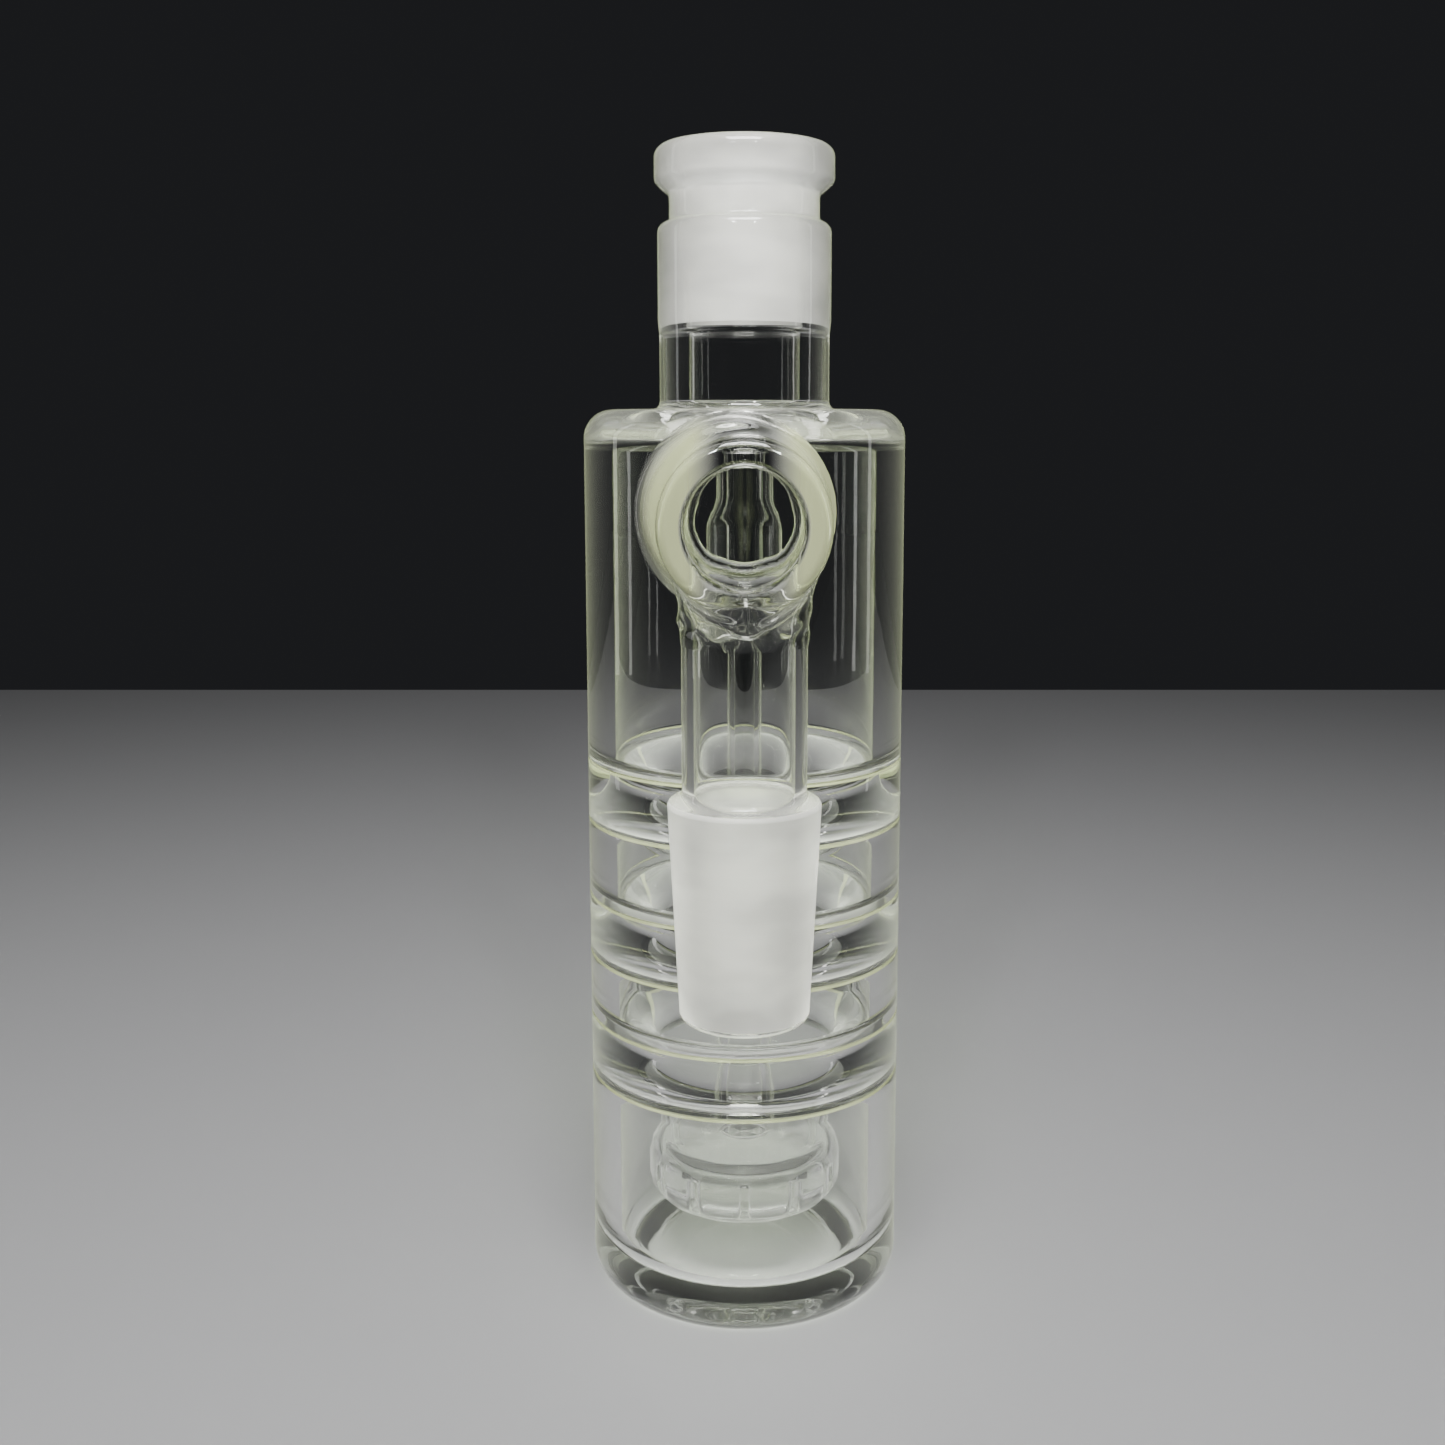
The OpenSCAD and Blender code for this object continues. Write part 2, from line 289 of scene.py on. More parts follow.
def arm_body(nt, glass):
    """Yellow-green on both sides of the arm's thick wall, at its front end and at its weld, with a
    painted pale glow there.
    """
    tex = add(nt, "ShaderNodeTexCoord")
    place = add(nt, "ShaderNodeVectorMath", operation="MULTIPLY_ADD")
    place.inputs[1].default_value = (1, 0, 1)
    place.inputs[2].default_value = (0, 0, -ARM_Z * MM)
    nt.links.new(tex.outputs["Object"], place.inputs[0])
    reach = add(nt, "ShaderNodeVectorMath", operation="LENGTH")
    nt.links.new(place.outputs[0], reach.inputs[0])
    beyond_bore = ramp(nt, reach.outputs["Value"], (ARM_BORE_R - 0.1) * MM, (ARM_BORE_R + 0.4) * MM)
    within_arm = ramp(nt, reach.outputs["Value"], (ARM_R + 5.0) * MM, (ARM_R + 1.5) * MM)
    parts = add(nt, "ShaderNodeSeparateXYZ")
    nt.links.new(tex.outputs["Object"], parts.inputs[0])
    front = ramp(nt, parts.outputs["Y"], -(ARM_FRONT - 5) * MM, -(ARM_FRONT - 1) * MM)
    weld = ramp(nt, parts.outputs["Y"], -(WELD_OUT + 2) * MM, -(WELD_OUT - 2) * MM)
    aside = add(nt, "ShaderNodeMath", operation="ABSOLUTE")
    nt.links.new(parts.outputs["X"], aside.inputs[0])
    sides = ramp(nt, aside.outputs[0], 2.5 * MM, 7.0 * MM)
    wall = combine(nt, "MULTIPLY", beyond_bore, within_arm)
    wall = combine(nt, "MULTIPLY", wall, sides)
    tint_and_glow = combine(nt, "MULTIPLY", wall, combine(nt, "MAXIMUM", front, weld))
    colour = blend_colours(nt, tint_and_glow, (0.975, 0.985, 0.95), (0.89, 0.96, 0.52))
    nt.links.new(colour, glass.inputs["Base Color"])
    # the diffuse share paints a pale glow where the tint is
    nt.links.new(less(nt, tint_and_glow, 0.3), glass.inputs["Transmission Weight"])


def seam_body(nt, glass):
    """Pale yellow-green line where two pieces were melted together, painted bright by a diffuse
    share in place of light trapped in the ring.
    """
    glass.inputs["Base Color"].default_value = (0.86, 0.93, 0.50, 1)
    # painted highlight: the diffuse share makes the seam a bright line
    glass.inputs["Transmission Weight"].default_value = 0.7


def ground_glass():
    """Ground joint surface: fine white grain, rings left by the grinding tool, uneven tone."""
    mat, nt = new_material("ground_glass")
    out = add(nt, "ShaderNodeOutputMaterial")
    glass = add(nt, "ShaderNodeBsdfPrincipled")
    glass.inputs["Transmission Weight"].default_value = 0.7
    glass.inputs["IOR"].default_value = GLASS_IOR
    rings = add(nt, "ShaderNodeTexNoise", Scale=1.0, Detail=4.0, Roughness=0.6)
    nt.links.new(coords(nt, (40, 40, 2200)), rings.inputs["Vector"])
    tone = add(nt, "ShaderNodeMix", data_type="RGBA")
    tone.inputs[6].default_value = (0.92, 0.91, 0.865, 1)
    tone.inputs[7].default_value = (0.99, 0.98, 0.94, 1)
    nt.links.new(rings.outputs[0], tone.inputs[0])
    clouds = add(nt, "ShaderNodeTexNoise", Scale=1.0, Detail=2.0, Roughness=0.5)
    nt.links.new(coords(nt, (70, 70, 150)), clouds.inputs["Vector"])
    uneven = add(nt, "ShaderNodeMix", data_type="RGBA", blend_type="MULTIPLY")
    uneven.inputs[7].default_value = (0.74, 0.74, 0.75, 1)
    nt.links.new(ramp(nt, clouds.outputs[0], 0.38, 0.66), uneven.inputs[0])
    nt.links.new(tone.outputs[2], uneven.inputs[6])
    nt.links.new(uneven.outputs[2], glass.inputs["Base Color"])
    grain = add(nt, "ShaderNodeTexNoise", Scale=1.0, Detail=5.0, Roughness=0.7)
    nt.links.new(coords(nt, (6000, 6000, 6000)), grain.inputs["Vector"])
    both = add(nt, "ShaderNodeMath", operation="MULTIPLY_ADD")
    both.inputs[1].default_value = 0.5
    nt.links.new(rings.outputs[0], both.inputs[0])
    nt.links.new(grain.outputs[0], both.inputs[2])
    bump = add(nt, "ShaderNodeBump")
    bump.inputs["Strength"].default_value = 0.25
    bump.inputs["Distance"].default_value = 0.00008
    nt.links.new(both.outputs[0], bump.inputs["Height"])
    nt.links.new(bump.outputs[0], glass.inputs["Normal"])
    rough = add(nt, "ShaderNodeMapRange")
    rough.inputs["To Min"].default_value = 0.48
    rough.inputs["To Max"].default_value = 0.66
    nt.links.new(grain.outputs[0], rough.inputs["Value"])
    nt.links.new(rough.outputs[0], glass.inputs["Roughness"])
    surface = clear_for_lamps(nt, glass.outputs[0], (0.6, 0.6, 0.58))
    nt.links.new(surface, out.inputs["Surface"])
    return mat


def fused_seal():
    """Where two pieces are fused there is no surface, so light goes straight on."""
    mat, nt = new_material("fused_seal")
    out = add(nt, "ShaderNodeOutputMaterial")
    straight = add(nt, "ShaderNodeBsdfTransparent")
    nt.links.new(straight.outputs[0], out.inputs["Surface"])
    return mat


WALL_GLASS = clear_glass("clear_glass", wall_body)
ARM_GLASS = clear_glass("arm_glass", arm_body)
HIGHLIGHT_GLASS = clear_glass("highlight_glass", highlight_body, (1.0, 1.0, 0.94))
SEAM_GLASS = clear_glass("seam_glass", seam_body)
FUSED_SEAL = fused_seal()
GROUND_GLASS = ground_glass()


# ---------------------------------------------------------------- revolved pieces


class Outline:
    """A closed outline (r, z) in millimetres, with the glass on the left of its direction."""

    def __init__(self, r, z):
        self.points = [(r, z)]
        self.tags = []

    def line(self, r, z, tag=SKIN):
        """Adds a straight side to (r, z)."""
        last_r, last_z = self.points[-1]
        if tag == SEAL:
            # dished a hair into the glass, so that two fused faces never coincide
            length = math.hypot(r - last_r, z - last_z)
            mid_r = (r + last_r) / 2 - (z - last_z) / length * SEAL_GAP
            mid_z = (z + last_z) / 2 + (r - last_r) / length * SEAL_GAP
            self.points.append((mid_r, mid_z))
            self.tags.append(tag)
        self.points.append((r, z))
        self.tags.append(tag)
        return self

    def arc(self, r, z, radius, start, end, steps=8, tag=SKIN):
        """Adds an arc about (r, z) from angle start to end, in degrees."""
        for i in range(steps + 1):
            a = math.radians(start + (end - start) * i / steps)
            point = (r + radius * math.cos(a), z + radius * math.sin(a))
            if math.dist(point, self.points[-1]) > 1e-4:
                self.line(*point, tag)
        return self

    def curve(self, towards, leaving, r, z, steps=10, tag=SKIN):
        """Adds a Bezier curve by way of two control points to (r, z)."""
        start = self.points[-1]
        for i in range(1, steps + 1):
            t = i / steps
            w = ((1 - t) ** 3, 3 * t * (1 - t) ** 2, 3 * t * t * (1 - t), t**3)
            knots = (start, towards, leaving, (r, z))
            self.line(*(sum(w[k] * knots[k][j] for k in range(4)) for j in (0, 1)), tag)
        return self


def finish_piece(mesh, name, nodes, glass=WALL_GLASS):
    """Makes the piece that stands for CAD nodes, its materials in the order of the face tags."""
    for mat in (glass, FUSED_SEAL, GROUND_GLASS, SEAM_GLASS, HIGHLIGHT_GLASS):
        mesh.materials.append(mat)
    piece = bpy.data.objects.new(name, mesh)
    bpy.context.scene.collection.objects.link(piece)
    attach(piece, "root")
    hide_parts(*nodes)
    return piece


def lathe(name, outline, node, y=0.0, steps=LATHE_STEPS):
    """The piece made by revolving a closed outline about the upright axis through (0, y)."""
    points, tags = list(outline.points), list(outline.tags)
    if math.dist(points[0], points[-1]) < 1e-4:
        points.pop()
    else:
        tags.append(SKIN)
    verts, rings = [], []
    for r, z in points:
        count = 1 if r < 1e-6 else steps
        rings.append([len(verts) + i % count for i in range(steps)])
        for i in range(count):
            a = 2 * math.pi * i / steps
            verts.append((r * math.cos(a) * MM, (y + r * math.sin(a)) * MM, z * MM))
    faces, slots = [], []
    for k, tag in enumerate(tags):
        here, there = rings[k], rings[(k + 1) % len(rings)]
        if len(set(here)) == 1 and len(set(there)) == 1:
            continue
        for i in range(steps):
            j = (i + 1) % steps
            corners = [here[i], here[j], there[j], there[i]]
            faces.append([v for n, v in enumerate(corners) if v not in corners[:n]])
            slots.append(tag)
    mesh = bpy.data.meshes.new(name)
    mesh.from_pydata(verts, [], faces)
    mesh.polygons.foreach_set("material_index", slots)
    mesh.polygons.foreach_set("use_smooth", [True] * len(faces))
    mesh.set_sharp_from_angle(angle=SHARP_ANGLE)
    mesh.update()
    return finish_piece(mesh, name, [node])


def base_piece():
    """Rounded heel, flat standing ring, domed underside and domed floor."""
    punt_sphere = (PUNT_R**2 + PUNT_RISE**2) / (2 * PUNT_RISE)
    centre = PUNT_RISE - punt_sphere
    edge = math.degrees(math.asin((PUNT_R - 0.6) / punt_sphere))
    o = Outline(0, PUNT_RISE)
    o.arc(0, centre, punt_sphere, 90, 90 - edge, 16)
    o.curve((PUNT_R + 0.2, 0.25), (PUNT_R + 0.5, 0), PUNT_R + 1.0, 0, 5)
    o.line(CHAMBER_R - HEEL_ROUND, 0)
    # painted highlight: a bright white crescent along the heel
    o.arc(CHAMBER_R - HEEL_ROUND, HEEL_ROUND, HEEL_ROUND, -90, 0, 12, SLANT_HIGHLIGHT)
    o.line(CHAMBER_R, BASE_H)
    o.line(BORE_R, BASE_H, SEAL)
    o.curve((BORE_R, 6.6), (BORE_R - 1.4, 5.1), 14.4, 5.3, 12)
    o.curve((10.8, 5.6), (5.5, PUNT_RISE + BASE_T), 0, PUNT_RISE + BASE_T, 14)
    lathe("base_glass", o, "base")


def wall_piece(node, z0, z1):
    """A plain length of the chamber's tube."""
    o = Outline(BORE_R, z0)
    o.line(CHAMBER_R, z0, SEAL).line(CHAMBER_R, z1)
    o.line(BORE_R, z1, SEAL).line(BORE_R, z0)
    lathe(node + "_glass", o, node)


RING_FILLET = 1.3
RING_LIP_R = 13.2
SEAM_DEPTH = 0.18
SEAM_HALF_W = 0.3
SEAM_SHARPNESS = 0.15


def splash_ring_piece(node):
    """A thick ring with a round lip, filleted into the wall, with a melted seam at each face."""
    z0, z1 = low(node, 2), high(node, 2)
    lip = (z1 - z0) / 2
    mid = (z0 + z1) / 2
    f = RING_FILLET
    o = Outline(BORE_R, z0 - f)
    o.line(CHAMBER_R, z0 - f, SEAL)
    seam_r = CHAMBER_R - SEAM_DEPTH
    for z in (z0, z1):
        under, over = z - SEAM_SHARPNESS, z + SEAM_SHARPNESS
        o.line(CHAMBER_R, z - SEAM_HALF_W)
        o.curve((CHAMBER_R, under), (seam_r, under), seam_r, z, 4, SEAM)
        o.curve((seam_r, over), (CHAMBER_R, over), CHAMBER_R, z + SEAM_HALF_W, 4, SEAM)
    o.line(CHAMBER_R, z1 + f)
    o.line(BORE_R, z1 + f, SEAL)
    o.arc(BORE_R - f, z1 + f, f, 0, -90, 6)
    # painted highlight: white arcs along the ring's lip
    o.arc(RING_LIP_R + lip, mid, lip, 90, 270, 20, SLANT_HIGHLIGHT)
    o.arc(BORE_R - f, z0 - f, f, 90, 0, 6)
    lathe(node + "_glass", o, node)


def shoulder_piece():
    """Closed top of the chamber with the fillet up to the neck."""
    fillet = NECK_LOW - SHOULDER_Z
    corner_z = SHOULDER_Z - SHOULDER_ROUND
    o = Outline(BORE_R, SHOULDER_LOW)
    o.line(CHAMBER_R, SHOULDER_LOW, SEAL)
    for z in np.linspace(SHOULDER_LOW, corner_z, 9)[1:]:
        o.line(CHAMBER_R, z)
    o.arc(CHAMBER_R - SHOULDER_ROUND, corner_z, SHOULDER_ROUND, 0, 88, 24)
    o.line(NECK_R + fillet, SHOULDER_Z)
    o.arc(NECK_R + fillet, NECK_LOW, fillet, 270, 180, 8)
    o.line(NECK_BORE_R, NECK_LOW, SEAL)
    o.line(NECK_BORE_R, SEAL_TOP, SEAL)
    turn = NECK_BORE_R + 4.0
    o.curve((turn - 3.0, SHOULDER_Z - 2.4), (turn - 1.8, SHOULDER_UNDER), turn, SHOULDER_UNDER, 8)
    corner = UNDER_ROUND
    o.line(BORE_R - corner, SHOULDER_UNDER)
    o.arc(BORE_R - corner, SHOULDER_UNDER - corner, corner, 90, 0, 8)
    piece = lathe("shoulder_glass", o, "shoulder", steps=SHOULDER_STEPS)
    # the arm's weld covers a patch of the outside
    for face in piece.data.polygons:
        x, y, z = face.center / MM
        if y < 0 and face.normal.y < -0.3 and math.hypot(x, y) > BORE_R + 1:
            if arm_field(x, -chamber_front(x, z) - 0.05, z) < 0:
                face.material_index = SEAL


def neck_piece():
    """Clear tube between the shoulder and the socket."""
    o = Outline(NECK_BORE_R, NECK_LOW)
    o.line(NECK_R, NECK_LOW, SEAL).line(NECK_R, JOINT_LOW)
    o.line(NECK_BORE_R, JOINT_LOW, SEAL).line(NECK_BORE_R, NECK_LOW)
    lathe("neck_glass", o, "neck")


def female_joint_piece():
    """Collar, groove and rim, with the tapered ground bore and a melted ledge inside."""
    collar_r = 12.05
    collar_round = 1.5
    groove_r = 10.4
    rim_round = 1.7
    mouth_round = 0.5
    collar_top = JOINT_TOP - 10.2
    rim_low = JOINT_TOP - 6.6
    o = Outline(NECK_BORE_R, JOINT_LOW)
    o.line(NECK_R, JOINT_LOW, SEAL)
    o.curve((NECK_R, JOINT_LOW + 1.2), (collar_r, JOINT_LOW + 1.2), collar_r, JOINT_LOW + 3, 6)
    o.line(collar_r, collar_top - 1.6)
    o.arc(collar_r - collar_round, collar_top - 1.6, collar_round, 0, 80, 8)
    step = ((groove_r + 0.1, collar_top), (groove_r, collar_top + 0.2))
    o.curve(*step, groove_r, collar_top + 0.8, 5)
    o.line(groove_r, rim_low - 0.5)
    flare = ((groove_r, rim_low + 0.1), (groove_r + 0.3, rim_low + 0.2))
    o.curve(*flare, groove_r + 0.8, rim_low + 0.5, 5)
    o.curve((RIM_R - 0.6, rim_low + 1.1), (RIM_R, rim_low + 1.4), RIM_R, rim_low + 2.2, 6)
    o.line(RIM_R, JOINT_TOP - rim_round)
    o.arc(RIM_R - rim_round, JOINT_TOP - rim_round, rim_round, 0, 90, 10)
    o.line(JOINT_R + mouth_round, JOINT_TOP)
    o.arc(JOINT_R + mouth_round, JOINT_TOP - mouth_round, mouth_round, 90, 177, 4)
    o.line(JOINT_SMALL_R, JOINT_LOW + 2.0, GROUND)
    ledge = ((JOINT_SMALL_R + 0.1, JOINT_LOW + 0.7), (NECK_BORE_R - 0.2, JOINT_LOW + 1.1))
    # painted highlight: a bright line along the ledge
    o.curve(*ledge, NECK_BORE_R, JOINT_LOW, 8, SLANT_HIGHLIGHT)
    lathe("female_joint_glass", o, "female_joint")


def ring_seal_piece():
    """Funnel that closes the neck round the down tube."""
    z = SHOULDER_LOW
    top = SEAL_TOP
    o = Outline(DOWN_BORE_R, z)
    o.line(DOWN_R, z, SEAL)
    o.curve((DOWN_R, z + 1.6), (NECK_BORE_R - 2.4, top - 2.6), NECK_BORE_R, top, 12)
    o.line(NECK_BORE_R, NECK_LOW, SEAL)
    o.curve((NECK_BORE_R, NECK_LOW - 2.6), (DOWN_BORE_R, z + 4.4), DOWN_BORE_R, z + 1.0, 14)
    o.line(DOWN_BORE_R, z)
    lathe("ring_seal_glass", o, "ring_seal", steps=TUBE_STEPS)


def down_tube_piece():
    """Tube from the neck's seal down to the diffuser."""
    o = Outline(DOWN_BORE_R, HEAD_TOP)
    o.line(DOWN_R, HEAD_TOP, SEAL).line(DOWN_R, SHOULDER_LOW)
    o.line(DOWN_BORE_R, SHOULDER_LOW, SEAL).line(DOWN_BORE_R, HEAD_TOP)
    lathe("down_tube_glass", o, "down_tube", steps=TUBE_STEPS)


def drop_tube_piece():
    """Clear tube between the arm and the male joint."""
    o = Outline(DROP_BORE_R, CONE_TOP)
    o.line(DROP_R, CONE_TOP, SEAL).line(DROP_R, DROP_TOP)
    o.line(DROP_BORE_R, DROP_TOP, SEAL).line(DROP_BORE_R, CONE_TOP)
    lathe("drop_tube_glass", o, "drop_tube", y=-DROP_Y, steps=JOINT_STEPS)


def male_joint_piece():
    """Clear shoulder, ground cone and fire-polished tip."""
    tip = 0.9
    tip_r = CONE_SMALL_R - 0.05
    mouth = 0.5
    corner = 0.8
    o = Outline(CONE_BORE_R, CONE_TIP + mouth)
    o.arc(CONE_BORE_R + mouth, CONE_TIP + mouth, mouth, 180, 270, 4)
    o.line(tip_r - tip, CONE_TIP)
    o.arc(tip_r - tip, CONE_TIP + tip, tip, -90, -3, 6)
    o.line(CONE_R - 0.02, CONE_Z, GROUND)
    o.arc(CONE_R - corner, CONE_Z, corner, 3, 50, 4, GROUND)
    o.arc(CONE_R - corner, CONE_Z, corner, 50, 78, 3)
    o.curve((DROP_R + 0.4, CONE_Z + 1.0), (DROP_R, CONE_Z + 1.2), DROP_R, CONE_TOP, 6)
    o.line(DROP_BORE_R, CONE_TOP, SEAL)
    narrowing = ((DROP_BORE_R, CONE_TOP - 1.6), (CONE_BORE_R, CONE_TOP - 2.6))
    o.curve(*narrowing, CONE_BORE_R, CONE_TOP - 5, 8)
    o.line(CONE_BORE_R, CONE_TIP + mouth)
    lathe(
        "male_joint_glass", o, "male_joint", y=-DROP_Y, steps=JOINT_STEPS
    )


# ---------------------------------------------------------------- melted shapes


def soft_min(a, b, k):
    """Union of two distance fields with a fillet of about k millimetres."""
    h = np.clip(0.5 + 0.5 * (b - a) / k, 0, 1)
    return b + (a - b) * h - k * h * (1 - h)


def soft_max(a, b, k):
    """Intersection of two distance fields with an edge rounded by about k millimetres."""
    return -soft_min(-a, -b, k)


def rounded_rod(across, along, radius, start, end, edge):
    """Distance to a rod between two planes, with rounded rims."""
    u = across - (radius - edge)
    v = np.maximum(start - along, along - end) + edge
    outside = np.hypot(np.maximum(u, 0), np.maximum(v, 0))
    return outside + np.minimum(np.maximum(u, v), 0) - edge


def surface_net(field, lows, highs, cell):
    """Closed quad mesh of the surface field = 0, its points moved onto the true surface."""
    counts = [int(math.ceil((h - l) / cell)) + 1 for l, h in zip(lows, highs)]
    axes = [l + cell * np.arange(n) for l, n in zip(lows, counts)]
    grid = np.meshgrid(*axes, indexing="ij")
    value = field(*grid)
    inside = value < 0
    corner = [slice(0, -1), slice(1, None)]
    total = np.zeros([n - 1 for n in counts] + [3])
    hits = np.zeros([n - 1 for n in counts])
    offsets = [(i, j, k) for i in (0, 1) for j in (0, 1) for k in (0, 1)]
    for a in offsets:
        for axis in range(3):
            if a[axis]:
                continue
            b = tuple(v + (n == axis) for n, v in enumerate(a))
            va = value[tuple(corner[v] for v in a)]
            vb = value[tuple(corner[v] for v in b)]
            crossed = (va < 0) != (vb < 0)
            t = np.where(crossed, va / np.where(va == vb, 1, va - vb), 0)
            for n in range(3):
                at = a[n] + (t if n == axis else 0)
                total[..., n] += np.where(crossed, at, 0)
            hits += crossed
    cells = np.argwhere(hits > 0)
    ids = -np.ones(hits.shape, int)
    ids[tuple(cells.T)] = np.arange(len(cells))
    where = tuple(cells.T)
    points = np.array(lows) + cell * (cells + total[where] / hits[where][:, None])
    faces = []
    for axis in range(3):
        u, v = (axis + 1) % 3, (axis + 2) % 3
        first = tuple(slice(0, -1) if n == axis else slice(1, -1) for n in range(3))
        second = tuple(slice(1, None) if n == axis else slice(1, -1) for n in range(3))
        change = inside[first].astype(int) - inside[second]
        for sign in (1, -1):
            spots = np.argwhere(change == sign)
            base = spots + np.array([0 if n == axis else 1 for n in range(3)])
            quad = []
            for du, dv in ((1, 1), (0, 1), (0, 0), (1, 0)):
                at = base.copy()
                at[:, u] -= du
                at[:, v] -= dv
                quad.append(ids[tuple(at.T)])
            quad = np.stack(quad, 1)
            faces.append(quad if sign == 1 else quad[:, ::-1])
    for _ in range(4):
        points -= gradient(field, points) * field(*points.T)[:, None]
    return points, np.concatenate(faces)


def gradient(field, points, step=0.02):
    """Unit slope of a field at each point."""
    slope = []
    for axis in range(3):
        shift = np.zeros(3)
        shift[axis] = step
        slope.append((field(*(points + shift).T) - field(*(points - shift).T)) / (2 * step))
    slope = np.stack(slope, 1)
    return slope / np.maximum(np.linalg.norm(slope, axis=1), 1e-9)[:, None]


def to_bmesh(points, faces):
    """The points and faces as a bmesh."""
    bm = bmesh.new()
    verts = [bm.verts.new(p) for p in points]
    for f in faces:
        bm.faces.new([verts[i] for i in f])
    bm.normal_update()
    return bm


def close_cut(bm, point, normal, pitch=None):
    """Fills the loops that a plane cut, and dishes each fill a hair into the glass."""
    normal, point = Vector(normal), Vector(point)
    on_plane = [v for v in bm.verts if abs((v.co - point).dot(normal)) < 1e-4]
    bmesh.ops.remove_doubles(bm, verts=on_plane, dist=2e-4)
    rim = []
    for e in bm.edges:
        if e.is_boundary and all(abs((v.co - point).dot(normal)) < 1e-4 for v in e.verts):
            rim.append(e)
    across = normal.orthogonal().normalized()
    along = normal.cross(across)
    verts = list({v: None for e in rim for v in e.verts})
    number = {v: i for i, v in enumerate(verts)}
    flat = np.array([(v.co.dot(across), v.co.dot(along)) for v in verts])
    edges = np.array([[number[v] for v in e.verts] for e in rim])
    start, end = flat[edges[:, 0]], flat[edges[:, 1]]

    def within(x, y):
        spans = (start[:, 1] > y) != (end[:, 1] > y)
        a, b = start[spans], end[spans]
        crossings = a[:, 0] + (y - a[:, 1]) / (b[:, 1] - a[:, 1]) * (b[:, 0] - a[:, 0]) > x
        return crossings.sum() % 2 == 1

    if pitch:
        lows, highs = flat.min(0), flat.max(0)
        for x in np.arange(lows[0] + pitch / 2, highs[0], pitch):
            for y in np.arange(lows[1] + pitch / 2, highs[1], pitch):
                if within(x, y) and np.hypot(*(flat - (x, y)).T).min() > pitch / 3:
                    depth = point.dot(normal)
                    verts.append(bm.verts.new(across * x + along * y + normal * depth))
                    flat = np.vstack([flat, (x, y)])
    made = delaunay_2d_cdt([Vector(p) for p in flat], edges.tolist(), [], 0, 1e-9, True)
    for face in made[2]:
        corners = [made[3][i][0] for i in face]
        if not within(*flat[corners].mean(0)):
            continue
        corners = [verts[i] for i in corners]
        middle = bm.verts.new(sum((v.co for v in corners), Vector()) / 3 - normal * SEAL_GAP)
        if (corners[1].co - corners[0].co).cross(corners[2].co - corners[0].co).dot(normal) < 0:
            corners.reverse()
        for here, there in zip(corners, corners[1:] + corners[:1]):
            bm.faces.new((here, there, middle)).material_index = SEAL


def cut(bm, point, normal, pitch=None):
    """Cuts away what lies beyond a plane (point, outward normal), and closes the cut as a seal."""
    geom = bm.verts[:] + bm.edges[:] + bm.faces[:]
    bmesh.ops.bisect_plane(
        bm, geom=geom, dist=1e-5, plane_co=point, plane_no=normal, clear_outer=True
    )
    close_cut(bm, point, normal, pitch)


def part_of(source, planes):
    """Copy of a bmesh cut by planes (point, outward normal)."""
    bm = source.copy()
    for point, normal in planes:
        cut(bm, point, normal)
    return bm


def chamber_front(x, z):
    """How far in front of the axis the chamber's outer surface stands."""
    rise = np.clip(z - (SHOULDER_Z - SHOULDER_ROUND), 0, SHOULDER_ROUND)
    radius = CHAMBER_R - SHOULDER_ROUND + np.sqrt(SHOULDER_ROUND**2 - rise**2)
    return np.sqrt(np.maximum(radius**2 - x**2, 0))


def split_at_chamber(source, side):
    """Copy of a bmesh cut along the chamber's outside: side 1 keeps the chamber, -1 the rest."""
    bm = source.copy()
    for v in bm.verts:
        v.co.y += chamber_front(v.co.x, v.co.z)
    cut(bm, (0, -0.02, 0), (0, -side, 0), 1.0)
    for v in bm.verts:
        v.co.y -= chamber_front(v.co.x, v.co.z)
    return bm


def melted_piece(bm, field, name, nodes, glass=WALL_GLASS):
    """Turns a cut bmesh into a piece whose skin is shaded with the field's own slope."""
    mesh = bpy.data.meshes.new(name)
    bm.to_mesh(mesh)
    points = np.array([v.co for v in mesh.vertices])
    slopes = gradient(field, points)
    mesh.polygons.foreach_set("use_smooth", [True] * len(mesh.polygons))
    normals = []
    for polygon in mesh.polygons:
        for vertex in polygon.vertices:
            normals.append(polygon.normal if polygon.material_index == SEAL else slopes[vertex])
    mesh.normals_split_custom_set([tuple(n) for n in normals])
    for v in mesh.vertices:
        v.co = v.co * MM
    mesh.update()
    return finish_piece(mesh, name, nodes, glass)


BEAD_X = -1.4
BEAD_Z = ARM_Z + 0.2
BEAD_R = 11.9
BEAD_OUT = 24.6
RIM_EDGE = 1.3
ROOT = 12
WELD_LUMP_Z = WELD_TOP - 1.2


